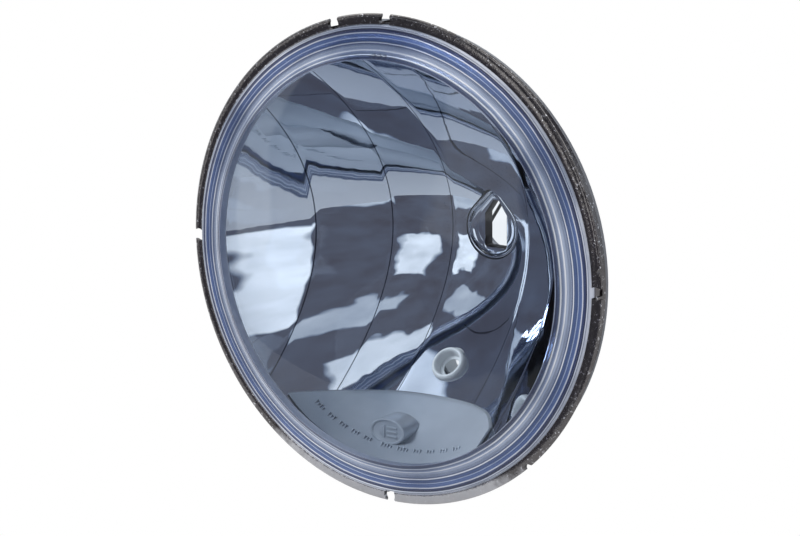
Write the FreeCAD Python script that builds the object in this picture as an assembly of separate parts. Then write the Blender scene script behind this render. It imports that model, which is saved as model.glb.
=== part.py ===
# Round fog light insert: glass, notched chrome ring, faceted reflector and bulb seat.
# Origin: on the lamp axis, in the plane of the ring's front face.
# The light leaves along -Y, +Z is up, and depth into the lamp is +Y. Millimetres.
import FreeCAD, Part
import math
import os

# Ring that carries the glass and the reflector
ringRadius = 110.0
ringThickness = 2.2
ringBore = 105.3
skirtRadius = 106.6
floorBore = 98.5
floorFront = 7.2
floorBack = 10.2
notchWidth = 4.6
notchReach = 4.1
smallNotchRadius = 1.6
wideNotchAngles = (0.0, 90.0, 180.0, 270.0, 345.0)
smallNotchAngles = (20.0, 85.0, 138.0)

# Front glass
glassRadius = 105.0
glassWall = 3.2
glassFootBack = 6.4
rimStepRadii = (103.2, 99.8, 96.3)
domeRadius = 90.5
domeEdgeRise = 5.0
domeCrownRise = 17.0
domeInset = 2.5
rimChamfer = 0.8
rimStepDepth = 0.5
rimStepSlope = 0.7
glassFootBore = 101.0
glassFootSeat = (97.0, 1.4)
sealantBore = 100.2
sealantRadius = 105.2

# Reflector: vertical strips that follow a paraboloid
focalLength = 27.0
vertexDepth = 87.0
bowlFront = 3.0
bowlWall = 3.0
outerFocal = 27.7
stripEdges = (-98.0, -70.0, -45.0, -21.0, 21.0, 45.0, 70.0, 98.0)
stripFlatness = 0.35
chordLimit = 12.6
bowlFlangeRadius = 106.0
bowlFlangeThickness = 2.5
bowlFlangeBore = 88.0
fitGap = 0.15

# Neck and bulb seat
neckRadius = 26.0
neckFront = 70.0
neckBack = 93.0
neckPocketRadius = 21.5
neckPocketFloor = 91.5
teardropRadius = 14.5
teardropTipRadius = 4.5
teardropTipHeight = 14.5
funnelFront = 83.6
funnelFloor = 90.0
funnelWall = 1.0
windowWidth = 12.0
windowHeight = 22.5
windowLift = 1.8
gasketThickness = 1.0
seatThickness = 1.5
seatRadius = 27.0
seatBoreRadius = 12.0
seatCollarBack = 98.0
seatCollarWall = 1.0
seatScrewCircle = 23.8
seatScrewAngles = (45.0, 135.0, 225.0, 315.0)
gasketLand = 4.2
funnelGap = 0.2

# Bulb retaining spring and what holds it
wireRadius = 0.8
pivotDepth = 100.6
pivotHeight = 19.5
pivotHoleRadius = 0.86
earInside = 6.2
earThickness = 1.0
earReach = 8.6
earLow = 16.6
earHigh = 22.4
earOverhang = 2.0
bracketLow = 15.6
bracketHigh = 25.2
pressedThickness = 0.8
legTopHalf = 4.4
legKneeHeight = 11.0
legWideHalf = 12.6
legWideHeight = -1.7
legLowHeight = -11.5
noseHalf = 3.0
noseHeight = -18.5
catchHalf = 5.2
catchLow = -26.2
catchPostHalf = 2.0
catchPostDepth = 1.0
catchHookDepth = 3.0
catchGap = 0.35
catchClearance = 0.9
terminalLeft = 15.2
terminalRight = 22.4
terminalHalf = 3.15
terminalReach = 9.5
terminalHole = 0.8
terminalHoleRise = 5.0

# Lower screen and its badge
screenTop = -70.0
screenLeft = -70.0
screenRight = 43.0
screenStand = 3.4
screenSlope = 38.0 / 24.0
screenRunOut = 26.0
badgeCentre = (-9.0, -81.6)
badgeHalfWidth = 9.6
badgeHalfHeight = 6.1
badgeFront = 11.0
badgeBack = 27.0
screenScrewPlaces = ((-30.0, -76.0), (24.0, -76.0))
screenMouth = 92.5
screenSkin = 1.2
screenBossRadius = 4.5
screenBossFront = 10.0
screenHead = 42.0
screenScrewTip = 31.0
badgeRim = 1.0
badgeRelief = 0.5
signHeight = 0.6
signLampRadius = 2.9
signLampEdge = 1.6
signBarLength = 5.2
signBarWidth = 0.9
signBarPitch = 2.2

# Position lamp bush
bushCentre = (-3.0, -59.0)
bushRadius = 8.3
bushShank = 7.0
bushBore = 5.6
bushFront = 46.5
bushBack = 66.0
bushHeadBack = 60.0
bushRim = 1.6
bushBossWall = 3.0
bushBossFront = 45.0
bushBossBack = 62.0
bushHoleFront = 30.0

# Fasteners
screwShank = 1.3
screwHead = 2.7
screwHeadHeight = 1.8
ringScrewCircle = 102.0
ringScrewCount = 6
rivetShank = 1.2
rivetHead = 2.2
rivetHeadHeight = 1.0
slotDepth = 0.8
slotHalfLength = 2.0
slotHalfWidth = 0.4

os.makedirs("parts", exist_ok=True)
lampAxis = FreeCAD.Vector(0, 1, 0)


def vector(x, y, z):
    return FreeCAD.Vector(x, y, z)


def export(name, shape):
    shape.exportStep("parts/" + name + ".step")
    print(name, "solids", len(shape.Solids), "valid", shape.isValid(), "cm3", round(shape.Volume / 1000, 2))


def cylinder(radius, front, back, x=0.0, z=0.0):
    return Part.makeCylinder(radius, back - front, vector(x, front, z), lampAxis)


def block(x0, x1, y0, y1, z0, z1):
    return Part.makeBox(x1 - x0, y1 - y0, z1 - z0, vector(x0, y0, z0))


def around(angle, radius):
    turn = math.radians(angle)
    return radius * math.sin(turn), radius * math.cos(turn)


def spun(edges):
    profile = Part.Face(Part.Wire(edges))
    return profile.revolve(vector(0, 0, 0), lampAxis, 360)


def spunOutline(points):
    corners = [vector(r, y, 0) for r, y in points]
    return spun(Part.makePolygon(corners + corners[:1]).Edges)


def parabolaEdge(start, end, vertex, focal, place):
    # A quadratic Bezier with its middle pole on both end tangents is an exact parabola.
    def depth(t):
        return vertex - t * t / (4 * focal)
    middle = (start + end) / 2
    poleDepth = depth(start) - start * (middle - start) / (2 * focal)
    curve = Part.BezierCurve()
    curve.setPoles([place(start, depth(start)), place(middle, poleDepth), place(end, depth(end))])
    return curve.toShape()


def line(a, b):
    return Part.LineSegment(a, b).toShape()


def stripPoints():
    # Across the lamp each strip is flatter than the paraboloid, so its edges show as creases.
    points = []
    for left, right in zip(stripEdges[:-1], stripEdges[1:]):
        chords = math.ceil((right - left) / chordLimit)
        for i in range(chords):
            x = left + (right - left) * i / chords
            curved = x * x
            straight = (left + right) * x - left * right
            drop = curved + stripFlatness * (straight - curved)
            points.append((x, drop / (4 * focalLength)))
    points.append((stripEdges[-1], stripEdges[-1] ** 2 / (4 * focalLength)))
    return points


def bowlCavity(vertex, front=-60.0, reach=104.0):
    # Each chord is one parabola in the YZ plane, swept straight from one point to the next.
    cavity = None
    points = stripPoints()
    for (left, leftDrop), (right, rightDrop) in zip(points[:-1], points[1:]):
        def place(z, y, left=left, leftDrop=leftDrop):
            return vector(left, y - leftDrop, z)
        curve = parabolaEdge(-reach, reach, vertex, focalLength, place)
        low = curve.Vertexes[0].Point
        high = curve.Vertexes[-1].Point
        lowFront = vector(left, front - leftDrop, low.z)
        highFront = vector(left, front - leftDrop, high.z)
        sides = [curve, line(high, highFront), line(highFront, lowFront), line(lowFront, low)]
        strip = Part.Face(Part.Wire(sides)).extrude(vector(right - left, leftDrop - rightDrop, 0))
        cavity = strip if cavity is None else cavity.fuse(strip)
    return cavity


def teardrop(shrink, front, back):
    # A circle with two tangents that meet in a small rounded tip above it.
    large = teardropRadius - shrink
    small = teardropTipRadius - shrink
    lean = math.asin((large - small) / teardropTipHeight)
    largeX, largeZ = large * math.cos(lean), large * math.sin(lean)
    smallX, smallZ = small * math.cos(lean), teardropTipHeight + small * math.sin(lean)
    bottom = Part.Arc(vector(-largeX, front, largeZ), vector(0, front, -large), vector(largeX, front, largeZ))
    tip = Part.Arc(
        vector(smallX, front, smallZ),
        vector(0, front, teardropTipHeight + small),
        vector(-smallX, front, smallZ),
    )
    sides = [
        bottom.toShape(),
        line(vector(largeX, front, largeZ), vector(smallX, front, smallZ)),
        tip.toShape(),
        line(vector(-smallX, front, smallZ), vector(-largeX, front, largeZ)),
    ]
    return Part.Face(Part.Wire(sides)).extrude(vector(0, back - front, 0))


def panHeadScrew(x, z, head, tip):
    shank = cylinder(screwShank, tip, head, x, z)
    cap = cylinder(screwHead, head, head + screwHeadHeight, x, z)
    top = head + screwHeadHeight
    left, right = x - slotHalfLength, x + slotHalfLength
    slot = block(left, right, top - slotDepth, top + 1, z - slotHalfWidth, z + slotHalfWidth)
    return shank.fuse(cap).cut(slot)


def rivet(x, z, front, back):
    head = cylinder(rivetHead, back, back + rivetHeadHeight, x, z)
    return cylinder(rivetShank, front, back, x, z).fuse(head)


def ringScrewPlaces():
    step = 360.0 / ringScrewCount
    return [around(30.0 + i * step, ringScrewCircle) for i in range(ringScrewCount)]


def seatScrewPlaces():
    return [around(angle, seatScrewCircle) for angle in seatScrewAngles]


def carrierRing():
    ring = spunOutline([
        (ringBore, 0), (ringRadius, 0), (ringRadius, ringThickness), (skirtRadius, ringThickness),
        (skirtRadius, floorBack), (floorBore, floorBack), (floorBore, floorFront), (ringBore, floorFront),
    ])
    notch = block(-notchWidth / 2, notchWidth / 2, -1, floorFront, ringRadius - notchReach, ringRadius + 1)
    for angle in wideNotchAngles:
        ring = ring.cut(notch.rotated(vector(0, 0, 0), lampAxis, angle))
    for angle in smallNotchAngles:
        x, z = around(angle, ringRadius)
        ring = ring.cut(cylinder(smallNotchRadius, -1, ringThickness + 1, x, z))
    for x, z in ringScrewPlaces():
        ring = ring.cut(cylinder(screwShank, floorFront + 0.8, floorBack + 1, x, z))
    return ring


def domeEdge(edgeRadius, edgeDepth, crownDepth):
    middle = edgeRadius / 2
    sagitta = edgeDepth - crownDepth
    sphere = (edgeRadius ** 2 + sagitta ** 2) / (2 * sagitta)
    middleDepth = crownDepth + sphere - math.sqrt(sphere ** 2 - middle ** 2)
    points = vector(edgeRadius, edgeDepth, 0), vector(middle, middleDepth, 0), vector(0, crownDepth, 0)
    return Part.Arc(*points).toShape()


def lensGlass():
    outerDome = domeEdge(domeRadius, -domeEdgeRise, -domeCrownRise)
    innerDome = domeEdge(domeRadius - domeInset, -domeEdgeRise + glassWall, -domeCrownRise + glassWall)
    depth = -rimStepSlope
    front = [(glassRadius, glassFootBack), (glassRadius, 0.0), (glassRadius - rimChamfer, depth)]
    for radius in rimStepRadii:
        front += [(radius, depth), (radius - rimStepSlope, depth - rimStepDepth)]
        depth -= rimStepDepth
    front.append((domeRadius, -domeEdgeRise))
    seatRise = glassFootSeat[1] + 1.0
    foot = [(domeRadius - domeInset, -domeEdgeRise + glassWall), glassFootSeat]
    foot += [(glassFootBore, seatRise), (glassFootBore, glassFootBack)]
    outside = [line(vector(*a, 0), vector(*b, 0)) for a, b in zip(front[:-1], front[1:])]
    axis = line(vector(0, -domeCrownRise, 0), vector(0, -domeCrownRise + glassWall, 0))
    inside = [line(vector(*a, 0), vector(*b, 0)) for a, b in zip(foot[:-1], foot[1:])]
    close = line(vector(glassFootBore, glassFootBack, 0), vector(glassRadius, glassFootBack, 0))
    return spun(Part.sortEdges(outside + [outerDome, axis, innerDome] + inside + [close])[0])


def lensSealant():
    front, back = glassFootBack, floorFront
    inner, outer = sealantBore, sealantRadius
    return spunOutline([(inner, front), (outer, front), (outer, back), (inner, back)])


def reflector():
    shoulder = floorBack + bowlFlangeThickness
    mouth = math.sqrt(4 * outerFocal * (vertexDepth + bowlWall - bowlFront))

    def place(r, y):
        return vector(r, y, 0)
    skin = parabolaEdge(0.0, mouth, vertexDepth + bowlWall, outerFocal, place)
    crown = vector(0, vertexDepth + bowlWall, 0)
    lip = vector(mouth, bowlFront, 0)
    centre = vector(0, bowlFront, 0)
    body = spun([skin, line(lip, centre), line(centre, crown)])
    flange = cylinder(bowlFlangeRadius, floorBack, shoulder)
    flange = flange.cut(cylinder(bowlFlangeBore, floorBack - 1, shoulder + 1))
    body = body.fuse(flange)
    body = body.fuse(cylinder(neckRadius, neckFront, neckBack))
    bx, bz = bushCentre
    body = body.fuse(cylinder(bushShank + bushBossWall, bushBossFront, bushBossBack, bx, bz))
    for x, z in screenScrewPlaces:
        body = body.fuse(cylinder(screenBossRadius, screenBossFront, screenHead, x, z))
    body = body.cut(bowlCavity(vertexDepth))
    body = body.cut(cylinder(neckPocketRadius, neckPocketFloor, neckBack + 1))
    body = body.cut(teardrop(0.0, neckFront, neckPocketFloor + 1))
    body = body.cut(cylinder(bushShank, bushHoleFront, bushBack, bx, bz))
    for x, z in ringScrewPlaces():
        body = body.cut(cylinder(screwShank, floorBack - 1, shoulder + 1, x, z))
    for x, z in seatScrewPlaces():
        body = body.cut(cylinder(screwShank, neckBack - 5.0, neckBack + 1, x, z))
    for x, z in screenScrewPlaces:
        body = body.cut(cylinder(screwShank, 0.0, screenHead + 3, x, z))
    return max(body.Solids, key=lambda solid: solid.Volume)


def screenBlank(stand, top):
    # The front face keeps the bowl's curve across and runs straight down to the rim.
    edgeDepth = vertexDepth - screenTop * screenTop / (4 * focalLength) - stand
    lift = top - screenTop
    bowlBehind = vertexDepth - 7

    def place(x, y):
        return vector(x, y + lift * screenSlope, top)
    curve = parabolaEdge(screenLeft, screenRight, edgeDepth, focalLength, place)
    left = curve.Vertexes[0].Point
    right = curve.Vertexes[-1].Point
    leftBack = vector(left.x, bowlBehind, top)
    rightBack = vector(right.x, bowlBehind, top)
    sides = [curve, line(right, rightBack), line(rightBack, leftBack), line(leftBack, left)]
    face = Part.Face(Part.Wire(sides))
    run = screenRunOut + lift
    return face.extrude(vector(0, -run * screenSlope, -run))


def lowerScreen():
    mouth = cylinder(screenMouth, bowlFront + 1, vertexDepth + 3)
    screen = screenBlank(screenStand, screenTop).common(bowlCavity(vertexDepth - fitGap)).common(mouth)
    behindSkin = screenBlank(screenStand - screenSkin, screenTop + 10)
    for x, z in screenScrewPlaces:
        screen = screen.cut(cylinder(screwShank, 0.0, vertexDepth + 3, x, z).common(behindSkin))
    badgeSocket = badgeBlank(0.0, badgeFront, badgeBack)
    return max(screen.cut(badgeSocket).Solids, key=lambda solid: solid.Volume)


def badgeBlank(shrink, front, back):
    x, z = badgeCentre
    oval = Part.Ellipse(vector(0, 0, 0), badgeHalfWidth - shrink, badgeHalfHeight - shrink).toShape()
    oval.rotate(vector(0, 0, 0), vector(1, 0, 0), 90)
    oval.translate(vector(x, front, z))
    return Part.Face(Part.Wire([oval])).extrude(vector(0, back - front, 0))


def screenBadge():
    # The stub stands out of the screen: a raised oval rim around a plain beam sign.
    stub = badgeBlank(0.0, badgeFront, badgeBack).common(bowlCavity(vertexDepth - fitGap))
    stub = stub.cut(badgeBlank(badgeRim, badgeFront - 1, badgeFront + badgeRelief))
    x, z = badgeCentre
    back = badgeFront + signHeight
    for row in range(3):
        low = z - 2.6 + row * signBarPitch
        stub = stub.fuse(block(x - 0.5, x + signBarLength, badgeFront, back, low, low + signBarWidth))
    lamp = cylinder(signLampRadius, badgeFront, back, x - signLampEdge, z)
    left, low = x - badgeHalfWidth, z - badgeHalfHeight
    half = block(left, x - signLampEdge, 0, back + 1, low, low + 2 * badgeHalfHeight)
    return stub.fuse(lamp.common(half))


def bulbFunnel():
    foot = cylinder(neckPocketRadius - funnelGap, neckPocketFloor, neckBack)
    funnel = teardrop(funnelGap, funnelFront, neckBack).fuse(foot)
    funnel = funnel.cut(teardrop(funnelGap + funnelWall, funnelFront - 1, funnelFloor))
    half = windowWidth / 2
    low = windowLift - windowHeight / 2
    return funnel.cut(block(-half, half, funnelFloor - 1, neckBack + 1, low, low + windowHeight))


def seatGasket():
    back = neckBack + gasketThickness
    bore = cylinder(seatScrewCircle - gasketLand, neckBack - 1, back + 1)
    gasket = cylinder(neckRadius, neckBack, back).cut(bore)
    for x, z in seatScrewPlaces():
        gasket = gasket.cut(cylinder(screwShank, neckBack - 1, back + 1, x, z))
    return gasket


def bulbSeatPlate():
    front = neckBack + gasketThickness
    back = front + seatThickness
    collar = cylinder(seatBoreRadius + seatCollarWall, front, seatCollarBack)
    plate = cylinder(seatRadius, front, back).fuse(collar)
    plate = plate.cut(cylinder(seatBoreRadius, front - 1, seatCollarBack + 1))
    for x, z in seatScrewPlaces():
        plate = plate.cut(cylinder(screwShank, front - 1, back + 1, x, z))
    for x, z in rivetPlaces():
        plate = plate.cut(cylinder(rivetShank, front - 1, back + 1, x, z))
    return plate


def rivetPlaces():
    return bracketRivetPlaces() + catchRivetPlaces() + earthRivetPlaces()


def bracketRivetPlaces():
    return [(-3.0, 22.6), (3.0, 22.6)]


def catchRivetPlaces():
    return [(-2.6, -24.0), (2.6, -24.0)]


def earthRivetPlaces():
    return [(18.6, 0.0)]


def seatBack():
    return neckBack + gasketThickness + seatThickness


def springBracket():
    back = seatBack()
    outside = earInside + earThickness
    bracket = block(-outside, outside, back, back + pressedThickness, bracketLow, bracketHigh)
    for side in (-1, 1):
        inner = earInside if side > 0 else -outside
        ear = block(inner, inner + earThickness, back, pivotDepth + earOverhang, earLow, earHigh)
        bracket = bracket.fuse(ear)
    start = vector(-2 * outside, pivotDepth, pivotHeight)
    hole = Part.makeCylinder(pivotHoleRadius, 4 * outside, start, vector(1, 0, 0))
    for x, z in bracketRivetPlaces():
        bracket = bracket.cut(cylinder(rivetShank, back - 1, back + 2, x, z))
    return bracket.cut(hole)


def springRoute():
    # Left half from the pivot end to the nose; the right half mirrors it.
    left = [
        (-earReach, pivotHeight),
        (-legTopHalf, pivotHeight),
        (-legTopHalf, legKneeHeight),
        (-legWideHalf, legWideHeight),
        (-legWideHalf, legLowHeight),
        (-noseHalf, noseHeight),
    ]
    right = [(-x, z) for x, z in reversed(left)]
    return [vector(x, pivotDepth, z) for x, z in left + right]


def retainingSpring():
    # Straight runs of wire with a ball at each bend.
    route = springRoute()
    spring = None
    for a, b in zip(route[:-1], route[1:]):
        run = Part.makeCylinder(wireRadius, (b - a).Length, a, b - a)
        spring = run if spring is None else spring.fuse(run)
    for corner in route[1:-1]:
        spring = spring.fuse(Part.makeSphere(wireRadius, corner))
    return spring.removeSplitter()


def springCatch():
    back = seatBack()
    reach = pivotDepth + wireRadius + catchClearance
    edge = noseHeight - wireRadius - catchGap
    half = catchPostHalf
    base = block(-catchHalf, catchHalf, back, back + pressedThickness, catchLow, edge)
    post = block(-half, half, back, reach, edge - catchPostDepth, edge)
    hook = block(-half, half, reach - pressedThickness, reach, edge - catchHookDepth, edge)
    catch = base.fuse(post).fuse(hook)
    for x, z in catchRivetPlaces():
        catch = catch.cut(cylinder(rivetShank, back - 1, back + 2, x, z))
    return catch


def earthTerminal():
    back = seatBack()
    bladeLeft = terminalRight - pressedThickness
    base = block(terminalLeft, terminalRight, back, back + pressedThickness, -terminalHalf, terminalHalf)
    blade = block(bladeLeft, terminalRight, back, back + terminalReach, -terminalHalf, terminalHalf)
    tab = base.fuse(blade)
    for x, z in earthRivetPlaces():
        tab = tab.cut(cylinder(rivetShank, back - 1, back + 2, x, z))
    start = vector(bladeLeft - 1, back + terminalHoleRise, 0)
    return tab.cut(Part.makeCylinder(terminalHole, pressedThickness + 2, start, vector(1, 0, 0)))


def positionBush():
    x, z = bushCentre
    head = cylinder(bushRadius, bushFront, bushHeadBack, x, z)
    rim = [edge for edge in head.Edges if edge.BoundBox.YMax < bushFront + 0.01]
    head = head.makeFillet(bushRim, rim).cut(cylinder(bushBore, bushFront - 1, bushHeadBack + 1, x, z))
    head = max(head.common(bowlCavity(vertexDepth - fitGap)).Solids, key=lambda solid: solid.Volume)
    shank = cylinder(bushShank - 0.1, bushFront + 3.0, bushBack, x, z)
    return head.fuse(shank.cut(cylinder(bushBore, bushFront, bushBack + 1, x, z)))


def grouped(places, maker):
    return Part.makeCompound([maker(x, z) for x, z in places])


def ringScrew(x, z):
    return panHeadScrew(x, z, floorBack + bowlFlangeThickness, floorFront + 1.0)


def screenScrew(x, z):
    return panHeadScrew(x, z, screenHead, screenScrewTip)


def seatScrew(x, z):
    return panHeadScrew(x, z, seatBack(), neckBack - 4.0)


def seatRivet(x, z):
    return rivet(x, z, neckBack + gasketThickness, seatBack() + pressedThickness)


export("carrier_ring", carrierRing())
export("lens_glass", lensGlass())
export("lens_sealant", lensSealant())
export("reflector", reflector())
export("ring_screws", grouped(ringScrewPlaces(), ringScrew))
export("lower_screen", lowerScreen())
export("screen_badge", screenBadge())
export("screen_screws", grouped(screenScrewPlaces, screenScrew))
export("bulb_funnel", bulbFunnel())
export("seat_gasket", seatGasket())
export("bulb_seat_plate", bulbSeatPlate())
export("seat_screws", grouped(seatScrewPlaces(), seatScrew))
export("spring_bracket", springBracket())
export("bracket_rivets", grouped(bracketRivetPlaces(), seatRivet))
export("retaining_spring", retainingSpring())
export("spring_catch", springCatch())
export("catch_rivets", grouped(catchRivetPlaces(), seatRivet))
export("earth_terminal", earthTerminal())
export("earth_rivet", grouped(earthRivetPlaces(), seatRivet))
export("position_bush", positionBush())
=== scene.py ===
import math

import bpy
from mathutils import Matrix, Vector


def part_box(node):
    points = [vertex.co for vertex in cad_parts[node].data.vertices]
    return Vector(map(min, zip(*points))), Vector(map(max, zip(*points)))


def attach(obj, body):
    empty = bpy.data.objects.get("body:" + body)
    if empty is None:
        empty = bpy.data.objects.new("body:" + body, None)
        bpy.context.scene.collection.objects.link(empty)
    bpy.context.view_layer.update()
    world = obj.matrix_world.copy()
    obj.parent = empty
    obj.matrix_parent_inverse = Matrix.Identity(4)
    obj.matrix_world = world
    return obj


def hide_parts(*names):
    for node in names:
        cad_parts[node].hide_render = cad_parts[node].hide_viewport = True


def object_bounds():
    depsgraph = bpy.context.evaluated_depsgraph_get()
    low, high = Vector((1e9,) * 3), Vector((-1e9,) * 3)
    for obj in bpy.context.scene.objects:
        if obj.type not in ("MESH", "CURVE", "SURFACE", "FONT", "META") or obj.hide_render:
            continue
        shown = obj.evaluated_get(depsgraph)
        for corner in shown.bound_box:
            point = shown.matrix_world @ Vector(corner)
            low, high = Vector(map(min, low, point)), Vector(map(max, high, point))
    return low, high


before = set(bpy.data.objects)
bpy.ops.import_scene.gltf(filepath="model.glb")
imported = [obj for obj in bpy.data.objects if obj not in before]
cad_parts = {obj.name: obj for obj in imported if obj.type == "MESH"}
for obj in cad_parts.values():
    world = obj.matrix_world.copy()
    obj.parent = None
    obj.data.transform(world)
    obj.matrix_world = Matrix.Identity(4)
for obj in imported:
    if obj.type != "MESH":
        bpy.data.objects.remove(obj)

mm = 0.001
cadLow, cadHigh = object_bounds()
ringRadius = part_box("carrier_ring")[1].x
lampAxisTurn = (math.radians(90), 0, 0)  # stands a flat circle up to face the front
bowlCurve = 4 * 27.0 * mm  # four times the focal length
bowlVertex = 87.0 * mm
stripEdges = [x * mm for x in (-98, -70, -45, -21, 21, 45, 70, 98)]
bushSeat = {"x": -3.0 * mm, "y": 52.9 * mm, "z": -59.0 * mm, "tilt": -40}  # where it meets the bowl


# Selecting and finishing

def deselectAll():
    if bpy.context.object and bpy.context.object.mode != "OBJECT":
        bpy.ops.object.mode_set(mode="OBJECT")
    bpy.ops.object.select_all(action="DESELECT")


def pick(piece):
    deselectAll()
    piece.select_set(True)
    bpy.context.view_layer.objects.active = piece


def settle(piece):
    pick(piece)
    bpy.ops.object.transform_apply(location=True, rotation=True, scale=True)


def tidyMesh(piece, merge=0.01 * mm):
    pick(piece)
    bpy.ops.object.mode_set(mode="EDIT")
    bpy.ops.mesh.select_all(action="SELECT")
    bpy.ops.mesh.remove_doubles(threshold=merge)
    bpy.ops.mesh.normals_make_consistent(inside=False)
    bpy.ops.object.mode_set(mode="OBJECT")


def smooth(piece, degrees=32):
    pick(piece)
    bpy.ops.object.shade_smooth_by_angle(angle=math.radians(degrees))


def cutWith(piece, cutter, operation="DIFFERENCE"):
    pick(piece)
    cut = piece.modifiers.new("cut", "BOOLEAN")
    cut.operation = operation
    cut.solver = "EXACT"
    cut.object = cutter
    bpy.ops.object.modifier_apply(modifier=cut.name)
    bpy.data.objects.remove(cutter)


def softenEdges(piece, width, segments=2, degrees=32):
    pick(piece)
    bevel = piece.modifiers.new("soften", "BEVEL")
    bevel.width = width
    bevel.segments = segments
    bevel.limit_method = "ANGLE"
    bevel.angle_limit = math.radians(degrees)
    bevel.use_clamp_overlap = True
    bpy.ops.object.modifier_apply(modifier=bevel.name)


def millimetres(outline):
    return [(radius * mm, depth * mm) for radius, depth in outline]


def latheRings(name, outline, segments=192, centre=(0, 0)):
    # The outline is radius and depth pairs; each step is an extruded, moved and scaled ring.
    deselectAll()
    x, z = centre
    startRadius, startDepth = outline[0]
    bpy.ops.mesh.primitive_circle_add(
        vertices=segments, radius=startRadius, location=(x, startDepth, z), rotation=lampAxisTurn)
    piece = bpy.context.object
    piece.name = name
    settle(piece)
    bpy.ops.object.mode_set(mode="EDIT")
    bpy.ops.mesh.select_all(action="SELECT")
    for (radius, depth), (nextRadius, nextDepth) in zip(outline[:-1], outline[1:]):
        bpy.ops.mesh.extrude_region_move(
            TRANSFORM_OT_translate={"value": (0, nextDepth - depth, 0)})
        grow = nextRadius / radius
        bpy.ops.transform.resize(value=(grow, 1, grow), center_override=(x, nextDepth, z))
    bpy.ops.object.mode_set(mode="OBJECT")
    return piece


def addCylinder(radius, front, back, x=0.0, z=0.0, vertices=96):
    deselectAll()
    bpy.ops.mesh.primitive_cylinder_add(
        vertices=vertices, radius=radius, depth=back - front,
        location=(x, (front + back) / 2, z), rotation=lampAxisTurn)
    settle(bpy.context.object)
    return bpy.context.object


def addBlock(low, high):
    deselectAll()
    low, high = Vector(low), Vector(high)
    bpy.ops.mesh.primitive_cube_add(size=1, location=(low + high) / 2, scale=high - low)
    settle(bpy.context.object)
    return bpy.context.object


def tiltOntoBowl(piece):
    # Leans a piece made about the origin until it squares up to the bowl, then moves it there.
    piece.rotation_euler = (math.radians(bushSeat["tilt"]), 0, 0)
    piece.location = (bushSeat["x"], bushSeat["y"], bushSeat["z"])
    settle(piece)


def joinAll(name, pieces):
    deselectAll()
    for piece in pieces:
        piece.select_set(True)
    bpy.context.view_layer.objects.active = pieces[0]
    if len(pieces) > 1:
        bpy.ops.object.join()
    bpy.context.object.name = name
    return bpy.context.object


# Shader expressions

class Wire:
    def __init__(self, tree, socket):
        self.tree = tree
        self.socket = socket

    def maths(self, operation, first, second):
        return node(self.tree, "ShaderNodeMath", {"operation": operation}, [first, second])

    def __add__(self, other):
        return self.maths("ADD", self, other)

    def __radd__(self, other):
        return self.maths("ADD", other, self)

    def __sub__(self, other):
        return self.maths("SUBTRACT", self, other)

    def __rsub__(self, other):
        return self.maths("SUBTRACT", other, self)

    def __mul__(self, other):
        return self.maths("MULTIPLY", self, other)

    def __rmul__(self, other):
        return self.maths("MULTIPLY", other, self)

    def __truediv__(self, other):
        return self.maths("DIVIDE", self, other)

    def __pow__(self, other):
        return self.maths("POWER", self, other)

    def __lt__(self, other):
        return self.maths("LESS_THAN", self, other)

    def __gt__(self, other):
        return self.maths("GREATER_THAN", self, other)


def node(tree, kind, settings=None, values=(), output=0):
    made = tree.nodes.new(kind)
    for key, value in (settings or {}).items():
        if key == "stops":
            fillRamp(made.color_ramp, value)
        else:
            setattr(made, key, value)
    pairs = values.items() if isinstance(values, dict) else enumerate(values)
    for key, value in pairs:
        plug(tree, made.inputs[key], value)
    return Wire(tree, made.outputs[output])


def plug(tree, socket, value):
    if isinstance(value, Wire):
        tree.links.new(value.socket, socket)
    elif value is not None:
        socket.default_value = value


def fillRamp(ramp, stops):
    while len(ramp.elements) < len(stops):
        ramp.elements.new(1.0)
    for element, (place, colour) in zip(ramp.elements, stops):
        element.position = place
        element.color = (*colour, 1) if len(colour) == 3 else colour


def newFinish(name):
    finish = bpy.data.materials.new(name)
    finish.use_nodes = True
    tree = finish.node_tree
    shader = tree.nodes["Principled BSDF"]
    return finish, tree, shader


def place(tree):
    return node(tree, "ShaderNodeTexCoord", {}, [], "Object")


def axis(tree, where, index):
    split = node(tree, "ShaderNodeSeparateXYZ", {}, [where]).socket.node
    return Wire(tree, split.outputs[index])


def noise(tree, where, scale, detail=3.0, rough=0.5):
    values = {"Vector": where, "Scale": scale, "Detail": detail, "Roughness": rough}
    return node(tree, "ShaderNodeTexNoise", {}, values, "Fac")


def mixed(tree, amount, first, second, blend="MIX"):
    settings = {"data_type": "RGBA", "blend_type": blend}
    return node(tree, "ShaderNodeMix", settings, {0: amount, 6: first, 7: second}, 2)


def ramp(tree, amount, stops):
    return node(tree, "ShaderNodeValToRGB", {"stops": stops}, [amount], "Color")


def blackToWhite(edges):
    return [(edges[0], (0, 0, 0)), (edges[1], (1, 1, 1))]


def bumped(tree, height, strength, distance):
    values = {"Height": height, "Strength": strength, "Distance": distance}
    return node(tree, "ShaderNodeBump", {}, values, "Normal")


def wear(piece, finish):
    piece.data.materials.clear()
    piece.data.materials.append(finish)


# Finishes

metal = {"dark": (0.76, 0.80, 0.87, 1), "light": (0.84, 0.87, 0.92, 1), "seam": (0.16, 0.18, 0.22, 1),
         "seamHalf": 0.2 * mm, "gloss": 0.012, "dust": 0.016, "ripple": 0.04}


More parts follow.
